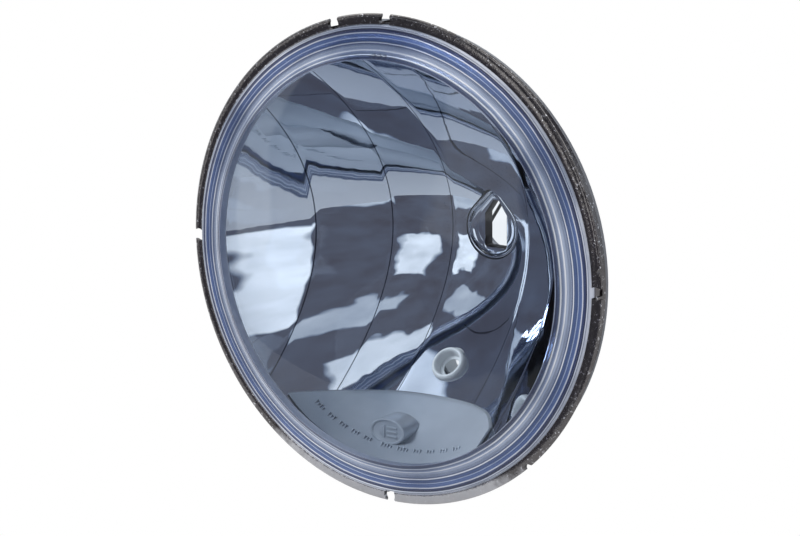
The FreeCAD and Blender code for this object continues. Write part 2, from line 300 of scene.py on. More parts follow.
def metallisedFinish():
    finish, tree, shader = newFinish("metallised")
    where = place(tree)
    ripple = noise(tree, where, 55.0, 2.0)
    dust = noise(tree, where, 900.0, 4.0)
    shader.inputs["Metallic"].default_value = 1.0
    tint = mixed(tree, ripple, metal["dark"], metal["light"])
    across = axis(tree, where, 0)
    gaps = [across - seam for seam in stripEdges[1:-1]]
    seams = sum(gap.maths("ABSOLUTE", gap, 0) < metal["seamHalf"] for gap in gaps)
    plug(tree, shader.inputs["Base Color"], mixed(tree, seams, tint, metal["seam"]))
    plug(tree, shader.inputs["Roughness"], dust * metal["dust"] + metal["gloss"])
    plug(tree, shader.inputs["Normal"], bumped(tree, ripple, metal["ripple"], 1.2 * mm))
    return finish


ringTarnishAndPaintedReflection = {"dark": ((0.10, 0.092, 0.09, 1), (0.30, 0.285, 0.28, 1)),
           "bright": ((0.66, 0.66, 0.67, 1), (0.86, 0.86, 0.87, 1)), "speck": (0.92, 0.92, 0.94, 1),
           "footSlope": -12.0, "footOffset": -0.35, "footEdge": (0.80, 0.93), "pitEdge": (0.60, 0.66)}


def ringChromeFinish():
    # Pitted, partly tarnished chrome; its base colour is also painted dark towards the top and sides and
    # bright along the bottom, as painted reflections of the dark room and the pale floor, with bright specks
    # scattered all over.
    finish, tree, shader = newFinish("ringChrome")
    where = place(tree)
    ripple = noise(tree, where, 160.0, 4.0)
    pits = noise(tree, where, 700.0, 3.0, 0.7)
    # painted reflection: lighter base colour along the bottom, where the chrome would mirror the pale floor,
    # darker above
    low = axis(tree, where, 2) * ringTarnishAndPaintedReflection["footSlope"] + ripple * 0.3 + ringTarnishAndPaintedReflection["footOffset"]
    paintedFloorReflection = ramp(tree, low, blackToWhite(ringTarnishAndPaintedReflection["footEdge"]))
    body = mixed(tree, paintedFloorReflection, mixed(tree, ripple, *ringTarnishAndPaintedReflection["dark"]), mixed(tree, ripple, *ringTarnishAndPaintedReflection["bright"]))
    speck = ramp(tree, pits, blackToWhite(ringTarnishAndPaintedReflection["pitEdge"]))
    shader.inputs["Metallic"].default_value = 1.0
    plug(tree, shader.inputs["Base Color"], mixed(tree, speck, body, ringTarnishAndPaintedReflection["speck"]))
    plug(tree, shader.inputs["Roughness"], pits * 0.20 + 0.05)
    plug(tree, shader.inputs["Normal"], bumped(tree, ripple + pits * 0.5, 0.45, 0.5 * mm))
    return finish


def steelFinish(name, dark, light, base):
    finish, tree, shader = newFinish(name)
    where = place(tree)
    cloud = noise(tree, where, 220.0, 4.0)
    grain = noise(tree, where, 2600.0, 2.0)
    shader.inputs["Metallic"].default_value = 0.95
    plug(tree, shader.inputs["Base Color"], mixed(tree, cloud, (*dark, 1), (*light, 1)))
    plug(tree, shader.inputs["Roughness"], cloud * 0.18 + grain * 0.08 + base)
    plug(tree, shader.inputs["Normal"], bumped(tree, grain, 0.15, 0.1 * mm))
    return finish


def plasticFinish(name, dark, light, base):
    finish, tree, shader = newFinish(name)
    where = place(tree)
    cloud = noise(tree, where, 40.0, 3.0)
    grain = noise(tree, where, 1500.0, 3.0)
    plug(tree, shader.inputs["Base Color"], mixed(tree, cloud, (*dark, 1), (*light, 1)))
    plug(tree, shader.inputs["Roughness"], grain * 0.12 + base)
    plug(tree, shader.inputs["Normal"], bumped(tree, grain, 0.12, 0.15 * mm))
    return finish


satinWithPaintedSheen = {"shade": (0.30, 0.35, 0.42), "paintedSheen": (0.72, 0.77, 0.83), "slope": 11.0, "cloud": 0.9,
         "offset": 0.05, "metallic": 0.55, "rough": 0.26}


def satinFinish():
    # Lightly metallised plastic, matt enough to spread a highlight into a soft patch.
    finish, tree, shader = newFinish("satinGrey")
    where = place(tree)
    cloud = noise(tree, where, 30.0, 3.0)
    grain = noise(tree, where, 2200.0, 3.0)
    shader.inputs["Metallic"].default_value = satinWithPaintedSheen["metallic"]
    # painted highlight: the base colour runs from a darker painted shade on the left to a lighter painted
    # highlight on the right, mottled by noise
    across = axis(tree, where, 0) * satinWithPaintedSheen["slope"] + cloud * satinWithPaintedSheen["cloud"] + satinWithPaintedSheen["offset"]
    paintedSheen = ramp(tree, across, [(0.0, satinWithPaintedSheen["shade"]), (1.0, satinWithPaintedSheen["paintedSheen"])])
    plug(tree, shader.inputs["Base Color"], paintedSheen)
    plug(tree, shader.inputs["Roughness"], grain * 0.10 + cloud * 0.08 + satinWithPaintedSheen["rough"])
    plug(tree, shader.inputs["Normal"], bumped(tree, grain, 0.25, 0.12 * mm))
    return finish


clear = {"gloss": (0.9, 0.95, 1, 1), "glossRough": 0.02, "tint": (0.93, 0.955, 0.98, 1), "bend": 1.42}


def clearFaceFinish():
    # Thin domed glass: tinted see-through with a Fresnel skin of gloss.
    finish, tree, shader = newFinish("clearFace")
    where = place(tree)
    ripple = noise(tree, where, 30.0, 2.0)
    normal = bumped(tree, ripple, 0.05, 0.5 * mm)
    values = {"Color": clear["gloss"], "Roughness": clear["glossRough"], "Normal": normal}
    gloss = node(tree, "ShaderNodeBsdfGlossy", {}, values)
    through = node(tree, "ShaderNodeBsdfTransparent", {}, {"Color": clear["tint"]})
    edge = node(tree, "ShaderNodeFresnel", {}, {"IOR": clear["bend"], "Normal": normal})
    inside = node(tree, "ShaderNodeNewGeometry", {}, [], "Backfacing")
    edge = edge * (1 - inside)  # only the faces towards the eye gloss, so no light is trapped in the wall
    blend = node(tree, "ShaderNodeMixShader", {}, [edge, through, gloss])
    tree.nodes.remove(shader)
    plug(tree, tree.nodes["Material Output"].inputs["Surface"], blend)
    return finish


def axisRadius(tree, where):
    # Distance from the lamp axis in millimetres.
    x, z = axis(tree, where, 0), axis(tree, where, 2)
    return (x * x + z * z) ** 0.5 * (1 / mm)


rimGlass = {
    "inner": 90.2, "width": 15.0, "waver": 0.4, "groovePitch": 5.2, "bend": 1.5, "through": 0.55,
    "glow": 0.30, "patch": [(0.38, (0.42, 0.46, 0.54)), (0.58, (1.0, 1.0, 1.0))],
    "paintedRingLines": [  # painted highlight and shade rings, from the dome's edge outwards
        (0.000, (1.00, 1.00, 1.00)), (0.035, (0.34, 0.39, 0.50)), (0.075, (0.04, 0.05, 0.10)),
        (0.150, (0.09, 0.12, 0.20)), (0.185, (0.95, 0.98, 1.00)), (0.205, (0.15, 0.19, 0.28)),
        (0.270, (0.30, 0.36, 0.50)), (0.300, (1.00, 1.00, 1.00)), (0.325, (0.42, 0.48, 0.60)),
        (0.460, (0.22, 0.26, 0.35)), (0.490, (0.05, 0.07, 0.16)), (0.520, (0.98, 1.00, 1.00)),
        (0.545, (0.08, 0.115, 0.22)), (0.640, (0.07, 0.11, 0.25)), (0.660, (0.50, 0.58, 0.72)),
        (0.680, (0.09, 0.135, 0.29)), (0.770, (0.11, 0.165, 0.34)), (0.800, (0.96, 0.98, 1.00)),
        (0.825, (0.05, 0.07, 0.16)), (0.910, (0.03, 0.035, 0.07)), (0.935, (0.84, 0.88, 0.95)),
        (0.960, (0.20, 0.22, 0.28)), (1.000, (0.90, 0.93, 0.97))],
}


def rimGlassFinish():
    # The rim's moulded rings are shown by painted bright, dark and blue rings: painted highlights and
    # refractions, broken into patches of painted light and shade.
    finish, tree, shader = newFinish("rimGlass")
    where = place(tree)
    ripple = noise(tree, where, 90.0, 3.0)
    patch = noise(tree, where, 14.0, 3.0)
    radius = axisRadius(tree, where)
    ruler = (radius + ripple * rimGlass["waver"] - rimGlass["inner"]) / rimGlass["width"]
    paintedRingLines = ramp(tree, ruler, rimGlass["paintedRingLines"])
    # painted light and shade: noise patches brighten and darken the painted rings around the rim
    tint = mixed(tree, 1.0, paintedRingLines, ramp(tree, patch, rimGlass["patch"]), "MULTIPLY")
    grooves = node(tree, "ShaderNodeMath", {"operation": "SINE"}, [radius * rimGlass["groovePitch"]])
    shader.inputs["Transmission Weight"].default_value = rimGlass["through"]
    shader.inputs["IOR"].default_value = rimGlass["bend"]
    shader.inputs["Coat Roughness"].default_value = 0.02
    shader.inputs["Coat Weight"].default_value = 0.6
    plug(tree, shader.inputs["Base Color"], tint)
    plug(tree, shader.inputs["Emission Color"], tint)
    # painted glow: the same painted rings also go into emission, so the rim glass glows though it is no lamp
    shader.inputs["Emission Strength"].default_value = rimGlass["glow"]
    plug(tree, shader.inputs["Roughness"], ripple * 0.05 + 0.01)
    plug(tree, shader.inputs["Normal"], bumped(tree, grooves * 0.5 + ripple * 0.6, 0.35, 0.3 * mm))
    return finish


finishes = {
    "metallised": metallisedFinish(),
    "ringChrome": ringChromeFinish(),
    "clearFace": clearFaceFinish(),
    "rimGlass": rimGlassFinish(),
    "seatSteel": steelFinish("seatSteel", (0.34, 0.35, 0.37), (0.56, 0.57, 0.59), 0.22),
    "zincSteel": steelFinish("zincSteel", (0.50, 0.51, 0.48), (0.72, 0.72, 0.70), 0.2),
    "springWire": steelFinish("springWire", (0.035, 0.033, 0.033), (0.10, 0.095, 0.095), 0.3),
    "tinnedBrass": steelFinish("tinnedBrass", (0.60, 0.54, 0.36), (0.78, 0.72, 0.52), 0.2),
    "satinGrey": satinFinish(),
    "rimRear": steelFinish("rimRear", (0.52, 0.57, 0.65), (0.70, 0.75, 0.83), 0.22),
    "paleBush": plasticFinish("paleBush", (0.70, 0.73, 0.74), (0.80, 0.82, 0.83), 0.3),
    "bowlBack": plasticFinish("bowlBack", (0.22, 0.23, 0.25), (0.29, 0.30, 0.32), 0.42),
    "rimSealant": plasticFinish("rimSealant", (0.36, 0.40, 0.46), (0.50, 0.54, 0.60), 0.4),
    "blackRubber": plasticFinish("blackRubber", (0.012, 0.012, 0.013), (0.03, 0.03, 0.032), 0.55),
}
print("finishes made", len(finishes))


# Reflector skin

skin = {"lift": 0.55 * mm, "wall": 0.3 * mm, "mouth": 97.6 * mm, "front": 3.2 * mm,
        "flatness": 0.3, "acrossEach": 16, "upEach": 110, "reach": 99 * mm, "bushHole": 7.4 * mm,
        "teardropGap": 0.1 * mm, "teardropCut": (60 * mm, 100 * mm), "back": 100 * mm}


def stripDepth(x, z):
    # Across the lamp a strip is flatter than the paraboloid, so its edges show as creases.
    edges = zip(stripEdges[:-1], stripEdges[1:])
    left, right = next((a, b) for a, b in edges if x <= b + 1e-7)
    straight = (left + right) * x - left * right
    across = x * x + skin["flatness"] * (straight - x * x)
    return bowlVertex - skin["lift"] - (across + z * z) / bowlCurve


def makeStrip(left, right):
    # A grid laid flat, then each of its points is set to the strip's own depth.
    deselectAll()
    bpy.ops.mesh.primitive_grid_add(
        x_subdivisions=skin["acrossEach"], y_subdivisions=skin["upEach"], size=1,
        location=((left + right) / 2, 0, 0), rotation=lampAxisTurn)
    strip = bpy.context.object
    strip.scale = (right - left, 2 * skin["reach"], 1)
    settle(strip)
    inward = 1e-6  # keeps the end points inside their own strip
    for point in strip.data.vertices:
        x = min(max(point.co.x, left + inward), right - inward)
        point.co.y = stripDepth(x, point.co.z)
    return strip


teardrop = {"large": 14.3 * mm, "small": 4.3 * mm, "height": 14.5 * mm}


def teardropOutline(shrink, turns=20):
    # A circle with two tangents up to a small rounded tip.
    large, small, height = teardrop["large"] - shrink, teardrop["small"] - shrink, teardrop["height"]
    lean = math.asin((large - small) / height)
    points = []
    for i in range(turns * 2 + 1):
        turn = math.pi - lean + (math.pi + 2 * lean) * i / (turns * 2)
        points.append((large * math.cos(turn), large * math.sin(turn)))
    for i in range(turns + 1):
        turn = lean + (math.pi - 2 * lean) * i / turns
        points.append((small * math.cos(turn), height + small * math.sin(turn)))
    return points


def addPrism(outline, front, back):
    # A filled circle whose points are set in turn, then drawn back.
    deselectAll()
    bpy.ops.mesh.primitive_circle_add(vertices=len(outline), radius=1, fill_type="NGON")
    piece = bpy.context.object
    for point, (x, z) in zip(piece.data.vertices, outline):
        point.co = (x, front, z)
    bpy.ops.object.mode_set(mode="EDIT")
    bpy.ops.mesh.select_all(action="SELECT")
    bpy.ops.mesh.extrude_region_move(TRANSFORM_OT_translate={"value": (0, back - front, 0)})
    bpy.ops.mesh.select_all(action="SELECT")
    bpy.ops.mesh.normals_make_consistent(inside=False)
    bpy.ops.object.mode_set(mode="OBJECT")
    return piece


def sharpenSeams(bowl):
    # The joints between strips are too shallow to be found by angle, so they are picked by place.
    pick(bowl)
    bpy.context.tool_settings.mesh_select_mode = (False, True, False)
    bpy.ops.object.mode_set(mode="EDIT")
    bpy.ops.mesh.select_all(action="DESELECT")
    bpy.ops.object.mode_set(mode="OBJECT")
    points = bowl.data.vertices
    for edge in bowl.data.edges:
        ends = [points[i].co.x for i in edge.vertices]
        edge.select = any(max(abs(x - seam) for x in ends) < 0.02 * mm for seam in stripEdges[1:-1])
    bpy.ops.object.mode_set(mode="EDIT")
    bpy.ops.mesh.mark_sharp()
    bpy.ops.object.mode_set(mode="OBJECT")
    bpy.context.tool_settings.mesh_select_mode = (True, False, False)


def makeReflectorSkin():
    strips = [makeStrip(a, b) for a, b in zip(stripEdges[:-1], stripEdges[1:])]
    bowl = joinAll("reflectorSkin", strips)
    tidyMesh(bowl)
    wall = bowl.modifiers.new("wall", "SOLIDIFY")
    wall.thickness = skin["wall"]
    wall.offset = 0
    pick(bowl)
    bpy.ops.object.modifier_apply(modifier=wall.name)
    cutWith(bowl, addCylinder(skin["mouth"], skin["front"], skin["back"], vertices=256), "INTERSECT")
    cutWith(bowl, addPrism(teardropOutline(-skin["teardropGap"]), *skin["teardropCut"]))
    bushHole = addCylinder(skin["bushHole"], -9 * mm, 9 * mm)
    tiltOntoBowl(bushHole)
    cutWith(bowl, bushHole)
    smooth(bowl, 30)
    sharpenSeams(bowl)
    wear(bowl, finishes["metallised"])
    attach(bowl, "lamp")
    print("reflector skin", len(bowl.data.polygons))


makeReflectorSkin()


# Front glass

lens = {"wall": 3.2 * mm, "domeRadius": 90.5 * mm, "domeRise": 5.0 * mm, "crownRise": 17.0 * mm,
        "domeSteps": 22, "innerInset": 2.5 * mm, "clearInset": 0.3 * mm, "rearFacing": 0.3,
        "front": [(105, 6.4), (105, 0.0), (104.8, -0.45), (104.2, -0.7), (103.2, -0.7), (102.8, -1.1),
                  (102.4, -1.2), (99.8, -1.2), (99.4, -1.6), (99.0, -1.7), (96.3, -1.7), (95.9, -2.1),
                  (95.5, -2.2), (94.6, -2.4), (91.4, -4.7)],
        "rear": [(91.0, 0.2), (92.6, 0.9), (96.4, 1.35), (97.0, 1.4), (100.4, 2.2), (101.0, 2.6),
                 (101.0, 6.4)]}
nubs = {"pitch": 2.9 * mm, "half": 0.8 * mm, "front": -4.9 * mm, "back": -3.2 * mm,
        "bottom": 90.9 * mm, "top": 93.3 * mm, "round": 0.5 * mm}


def domeOutline(edge, edgeDepth, crownDepth):
    steps = lens["domeSteps"]
    sagitta = edgeDepth - crownDepth
    sphere = (edge * edge + sagitta * sagitta) / (2 * sagitta)
    points = []
    for i in range(steps + 1):
        radius = max(edge * (1 - i / steps), 0.02 * mm)
        drop = sphere - math.sqrt(sphere * sphere - radius * radius)
        points.append((radius, crownDepth + drop))
    return points


def makeNubs():
    # Three small moulded stops at the top of the dome's edge.
    made = []
    for x in (-nubs["pitch"], 0.0, nubs["pitch"]):
        nub = addBlock((x - nubs["half"], nubs["front"], nubs["bottom"]),
                       (x + nubs["half"], nubs["back"], nubs["top"]))
        softenEdges(nub, nubs["round"], 3)
        made.append(nub)
    return made


def makeLens():
    edge, rise, crown, wall = (lens[key] for key in ("domeRadius", "domeRise", "crownRise", "wall"))
    outline = millimetres(lens["front"]) + domeOutline(edge, -rise, -crown)
    outline += reversed(domeOutline(edge - lens["innerInset"], wall - rise, wall - crown))
    outline += millimetres(lens["rear"])
    outline.append(outline[0])
    glass = latheRings("lensGlass", outline, 256)
    tidyMesh(glass)
    glass = joinAll("lensGlass", [glass] + makeNubs())
    smooth(glass, 40)
    wear(glass, finishes["rimGlass"])
    glass.data.materials.append(finishes["clearFace"])
    glass.data.materials.append(finishes["rimRear"])
    for face in glass.data.polygons:
        if math.hypot(face.center.x, face.center.z) < edge - lens["clearInset"]:
            face.material_index = 1
        elif face.normal.y > lens["rearFacing"]:
            face.material_index = 2
    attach(glass, "lamp")
    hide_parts("lens_glass")
    print("lens", len(glass.data.polygons))


makeLens()


# Notched ring

ring = {"wideNotches": (0, 90, 180, 270, 345), "smallNotches": (20, 85, 138), "notchWidth": 4.6 * mm,
        "notchRoot": 105.9 * mm, "rootRadius": 2.9 * mm, "rootSeat": 1.2 * mm, "smallRadius": 1.6 * mm,
        "notchFront": -1 * mm, "notchBack": 7.1 * mm, "rootBack": 2.6 * mm, "segments": 288,
        "rolled": [(105.3, 7.2), (105.3, 0.45), (105.5, 0.12), (106.0, 0.0), (107.2, 0.03), (108.4, 0.25),
                   (109.2, 0.6), (109.8, 1.15), (110.0, 1.7), (109.95, 2.05), (109.7, 2.2), (106.75, 2.2),
                   (106.6, 2.4), (106.6, 9.8), (106.3, 10.15), (106.0, 10.2), (98.7, 10.2), (98.5, 10.0),
                   (98.5, 7.4), (98.7, 7.2), (105.3, 7.2)]}


def makeRing():
    body = latheRings("carrierRing", millimetres(ring["rolled"]), ring["segments"])
    tidyMesh(body)
    for turn in ring["wideNotches"]:
        cutWith(body, notchCutter(math.radians(turn)))
    for turn in ring["smallNotches"]:
        x, z = around(turn, ringRadius)
        cutWith(body, addCylinder(ring["smallRadius"], -2 * mm, 3 * mm, x, z, 32))
    smooth(body, 28)
    wear(body, finishes["ringChrome"])
    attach(body, "lamp")
    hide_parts("carrier_ring")
    print("ring", len(body.data.polygons))


def around(degrees, radius):
    turn = math.radians(degrees)
    return radius * math.sin(turn), radius * math.cos(turn)


def notchCutter(turn):
    # A slot through the flange with a rounded root, turned about the lamp axis.
    deselectAll()
    root, top = ring["notchRoot"], ringRadius + 2 * mm
    front, back = ring["notchFront"], ring["notchBack"]
    middle = (root + top) / 2
    bpy.ops.mesh.primitive_cube_add(
        size=1, location=(middle * math.sin(turn), (front + back) / 2, middle * math.cos(turn)),
        rotation=(0, turn, 0), scale=(ring["notchWidth"], back - front, top - root))
    slot = bpy.context.object
    settle(slot)
    seat = root + ring["rootSeat"]
    x, z = seat * math.sin(turn), seat * math.cos(turn)
    cutWith(slot, addCylinder(ring["rootRadius"], front, ring["rootBack"], x, z, 40), "UNION")
    return slot


makeRing()


# Lower screen with its stub

screen = {"top": -70 * mm, "left": -60.2 * mm, "right": 42.6 * mm, "rim": 92.3 * mm, "edgeDepth": 38.23 * mm,
          "slope": 38 / 24, "dish": 0.9 * mm, "thick": 2.6 * mm, "across": 64, "down": 20,
          "cornerDrop": 3.2 * mm, "cornerFrom": 0.88, "round": 0.45 * mm}
marks = {"radius": 88.2 * mm, "groups": (4, 3, 3, 3, 3, 0, 4, 4, 3, 3, 3, 3), "from": 213.5, "step": 1.05,
         "gap": 1.6, "sunk": 0.25 * mm, "wide": 0.42 * mm, "deep": 1.0 * mm, "tall": 2.4, "uneven": 0.8}


def screenDepth(x, z, dish):
    return screen["edgeDepth"] - x * x / bowlCurve - screen["slope"] * (screen["top"] - z) + dish


def screenPoint(across, down):
    # Both run from 0 to 1: across from left to right, down from the top edge to the rim.
    x = screen["left"] + (screen["right"] - screen["left"]) * across
    corner = max(0.0, (across - screen["cornerFrom"]) / (1 - screen["cornerFrom"]))
    top = screen["top"] - screen["cornerDrop"] * corner * corner
    low = -math.sqrt(screen["rim"] ** 2 - x * x)
    z = top + (min(low, top - 0.1 * mm) - top) * down
    hollow = screen["dish"] * math.sin(math.pi * down) * math.sin(math.pi * across) ** 0.5
    return Vector((x, screenDepth(x, z, hollow), z))


def addSheet(name, across, down, pointAt):
    # A grid whose points are set one by one from their place in it.
    deselectAll()
    bpy.ops.mesh.primitive_grid_add(x_subdivisions=across, y_subdivisions=down, size=1)
    sheet = bpy.context.object
    sheet.name = name
    for point in sheet.data.vertices:
        point.co = pointAt(min(max(point.co.x + 0.5, 0), 1), min(max(0.5 - point.co.y, 0), 1))
    return sheet


def makeScreen():
    sheet = addSheet("lowerScreen", screen["across"], screen["down"], screenPoint)
    pick(sheet)
    bpy.ops.object.mode_set(mode="EDIT")
    bpy.ops.mesh.select_all(action="SELECT")
    bpy.ops.mesh.extrude_region_move(TRANSFORM_OT_translate={"value": (0, screen["thick"], 0)})
    bpy.ops.object.mode_set(mode="OBJECT")
    tidyMesh(sheet)
    softenEdges(sheet, screen["round"], 3, 50)
    screenBody = joinAll("lowerScreen", [sheet] + makeMarks())
    smooth(screenBody, 40)
    wear(screenBody, finishes["satinGrey"])
    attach(screenBody, "lamp")
    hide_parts("lower_screen")
    print("screen", len(screenBody.data.polygons))


def makeMarks():
    # Plain raised strokes in small groups along the rim, as on a graduated edge.
    made = []
    lean = math.atan(1 / screen["slope"])
    turn = marks["from"]
    for count in marks["groups"]:
        for i in range(count):
            x, z = around(turn, marks["radius"])
            tall = (marks["tall"] - marks["uneven"] * (i % 2)) * mm
            deselectAll()
            bpy.ops.mesh.primitive_cube_add(
                size=1, location=(x, screenDepth(x, z, marks["sunk"]), z),
                rotation=(lean, math.radians(turn), 0), scale=(marks["wide"], marks["deep"], tall))
            settle(bpy.context.object)
            made.append(bpy.context.object)
            turn -= marks["step"]
        turn -= marks["gap"]
    return made


badge = {"centre": (-9.0 * mm, -81.6 * mm), "stretch": 9.6 / 6.1, "signFront": 11.1 * mm,
         "signBack": 12.0 * mm, "signRadius": 2.9 * mm, "signOffset": 1.4 * mm, "signRound": 0.2 * mm,
         "barFrom": -0.3 * mm, "barTo": 5.2 * mm, "barHalf": 0.45 * mm, "barPitch": 2.1 * mm,
         "outline": [(0.02, 11.6), (4.85, 11.6), (5.05, 11.5), (5.2, 11.15), (5.4, 11.02), (5.8, 11.05),
                     (6.02, 11.25), (6.1, 11.6), (6.1, 23.4), (0.02, 23.4)]}


def makeBadge():
    x, z = badge["centre"]
    front, back, flat = badge["signFront"], badge["signBack"], x - badge["signOffset"]
    stub = latheRings("screenBadge", millimetres(badge["outline"]), 96, badge["centre"])
    for point in stub.data.vertices:
        point.co.x = x + (point.co.x - x) * badge["stretch"]
    tidyMesh(stub, 0.03 * mm)
    half = addCylinder(badge["signRadius"], front, back, flat, z, 48)
    cutWith(half, addBlock((flat, 10 * mm, z - 5 * mm), (x + 5 * mm, 13 * mm, z + 5 * mm)))
    softenEdges(half, badge["signRound"], 2, 40)
    sign = [half]
    for row in (-1, 0, 1):
        middle = z + row * badge["barPitch"]
        bar = addBlock((x + badge["barFrom"], front, middle - badge["barHalf"]),
                       (x + badge["barTo"], back, middle + badge["barHalf"]))
        softenEdges(bar, badge["signRound"])
        sign.append(bar)
    stub = joinAll("screenBadge", [stub] + sign)
    smooth(stub, 34)
    wear(stub, finishes["satinGrey"])
    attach(stub, "lamp")
    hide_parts("screen_badge")


makeScreen()
makeBadge()


# Position lamp bush

bush = {"rim": [(4.2, 2.6), (4.2, 2.0), (4.5, 1.7), (5.5, 1.3), (5.8, -0.6), (6.0, -2.0), (6.3, -2.9),
                (6.8, -3.35), (7.35, -3.3), (7.9, -2.8), (8.3, -1.9), (8.5, -0.9), (8.5, 0.2),
                (8.3, 2.4), (4.2, 2.6)],
        "shank": [(5.6, 65.7), (5.6, 57.0), (6.85, 57.0), (6.85, 65.7), (6.55, 66.0), (5.9, 66.0),
                  (5.6, 65.7)]}


def makeBush():
    # A rounded rim square to the bowl, on a straight shank along the lamp axis.
    rim = latheRings("positionBush", millimetres(bush["rim"]), 96)
    tiltOntoBowl(rim)
    shank = latheRings("bushShank", millimetres(bush["shank"]), 96, (bushSeat["x"], bushSeat["z"]))
    body = joinAll("positionBush", [rim, shank])
    tidyMesh(body)
    smooth(body, 35)
    wear(body, finishes["paleBush"])
    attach(body, "lamp")
    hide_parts("position_bush")


makeBush()


# Bulb funnel: beaded teardrop mouth that narrows to a tall window

funnel = {"window": (6.0 * mm, 11.25 * mm), "lift": 1.8 * mm, "pocket": 21.2 * mm, "turns": 24,
          "mouthInset": 1.65 * mm, "footInset": 0.3 * mm, "footFront": 91.6 * mm, "footBack": 92.95 * mm,
          "throat": (87 * mm, 92.9 * mm), "throatHalf": 6.2 * mm, "throatFacing": 0.3,
          "bead": [(0.30, 85.2), (0.32, 84.2), (0.55, 83.72), (0.95, 83.6), (1.35, 83.75), (1.6, 84.2),
                   (1.65, 84.9)],
          "flare": [(0.10, 85.5), (0.28, 86.1), (0.52, 86.5), (0.80, 86.7), (0.96, 86.75), (1.0, 86.9),
                    (1.0, 92.9)]}


def onWindow(x, z):
    # Where a line from the window's centre through this point meets the window's edge.
    wide, high = funnel["window"]
    z -= funnel["lift"]
    reach = min(wide / max(abs(x), 1e-9), high / max(abs(z), 1e-9))
    return x * reach, funnel["lift"] + z * reach


def funnelRings():
    rings = []
    for shrink, depth in funnel["bead"]:
        rings.append([(x, depth * mm, z) for x, z in teardropOutline(shrink * mm, funnel["turns"])])
    mouth = teardropOutline(funnel["mouthInset"], funnel["turns"])
    edge = [onWindow(x, z) for x, z in mouth]
    for part, depth in funnel["flare"]:
        ends = zip(mouth, edge)
        rings.append([(a + (c - a) * part, depth * mm, b + (d - b) * part) for (a, b), (c, d) in ends])
    pocket = teardropOutline(funnel["footInset"], funnel["turns"])
    wide = []
    for x, z in pocket:
        grow = funnel["pocket"] / math.hypot(x, z)
        wide.append((x * grow, z * grow))
    for outline, depth in ((wide, "footBack"), (wide, "footFront"), (pocket, "footFront")):
        rings.append([(x, funnel[depth], z) for x, z in outline])
    rings.append(rings[0])
    return rings


def makeFunnel():
    rings = funnelRings()
    count, depth = len(rings[0]), len(rings)

    def pointAt(across, down):
        return Vector(rings[round(down * (depth - 1))][round(across * count) % count])

    body = addSheet("bulbFunnel", count, depth - 1, pointAt)
    tidyMesh(body)
    smooth(body, 40)
    wear(body, finishes["metallised"])
    body.data.materials.append(finishes["springWire"])
    front, back = funnel["throat"]
    for face in body.data.polygons:
        inThroat = front < face.center.y < back and abs(face.center.x) < funnel["throatHalf"]
        if inThroat and abs(face.normal.y) < funnel["throatFacing"]:
            face.material_index = 1  # painted shade: the throat's walls behind the window's lip get the near-black wire finish to stand in for shade in the recess
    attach(body, "lamp")
    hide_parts("bulb_funnel")
    print("funnel", len(body.data.polygons))


makeFunnel()


# Retaining spring: round wire bent in one plane

spring = {"radius": 0.8 * mm, "depth": 100.6 * mm, "bend": 1.9 * mm,
          "half": [(-8.6, 19.5), (-4.4, 19.5), (-4.4, 11), (-12.6, -1.7), (-12.6, -11.5), (-3, -18.5)]}


def openBetween(wire, last, first):
    pick(wire)
    bpy.context.tool_settings.mesh_select_mode = (False, True, False)
    bpy.ops.object.mode_set(mode="EDIT")
    bpy.ops.mesh.select_all(action="DESELECT")
    bpy.ops.object.mode_set(mode="OBJECT")
    for edge in wire.data.edges:
        edge.select = set(edge.vertices) == {last, first}
    bpy.ops.object.mode_set(mode="EDIT")
    bpy.ops.mesh.delete(type="EDGE")
    bpy.ops.object.mode_set(mode="OBJECT")
    bpy.context.tool_settings.mesh_select_mode = (True, False, False)


def makeSpring():
    # An open circle of points set along the wire's path, its corners rounded, then given thickness.
    half = millimetres(spring["half"])
    route = half + [(-x, z) for x, z in reversed(half)]
    deselectAll()
    bpy.ops.mesh.primitive_circle_add(vertices=len(route), radius=1)
    wire = bpy.context.object
    for point, (x, z) in zip(wire.data.vertices, route):
        point.co = (x, spring["depth"], z)
    openBetween(wire, len(route) - 1, 0)
    bend = wire.modifiers.new("bend", "BEVEL")
    bend.affect = "VERTICES"
    bend.width = spring["bend"]
    bend.segments = 6
    bpy.ops.object.modifier_apply(modifier=bend.name)
    bpy.ops.object.convert(target="CURVE")
    wire.data.bevel_depth = spring["radius"]
    wire.data.bevel_resolution = 5
    wire.data.use_fill_caps = True
    bpy.ops.object.convert(target="MESH")
    wire.name = "retainingSpringWire"
    tidyMesh(wire)
    smooth(wire, 50)
    wear(wire, finishes["springWire"])
    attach(wire, "spring")
    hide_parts("retaining_spring")
    print("spring", len(wire.data.polygons))


makeSpring()


# Small pressed and turned parts: each a merged copy of its solid with softened edges

pressed = {  # node: new name, edge width in mm, finish, slot
    "bulb_seat_plate": ("bulbSeatPlate", 0.25, "seatSteel", "seat_steel"),
    "spring_bracket": ("springBracket", 0.2, "seatSteel", "seat_steel"),
    "spring_catch": ("springCatch", 0.2, "seatSteel", "seat_steel"),
    "earth_terminal": ("earthTerminal", 0.12, "tinnedBrass", "terminal_brass"),
    "ring_screws": ("ringScrews", 0.18, "zincSteel", "zinc_steel"),
    "seat_screws": ("seatScrews", 0.18, "zincSteel", "zinc_steel"),
    "screen_screws": ("screenScrews", 0.18, "zincSteel", "zinc_steel"),
    "bracket_rivets": ("bracketRivets", 0.25, "zincSteel", "zinc_steel"),
    "catch_rivets": ("catchRivets", 0.25, "zincSteel", "zinc_steel"),
    "earth_rivet": ("earthRivet", 0.25, "zincSteel", "zinc_steel"),
    "seat_gasket": ("seatGasket", 0.2, "blackRubber", "gasket_rubber"),
}


flatEnough = 1.5  # degrees between two loose triangles that make one flat face


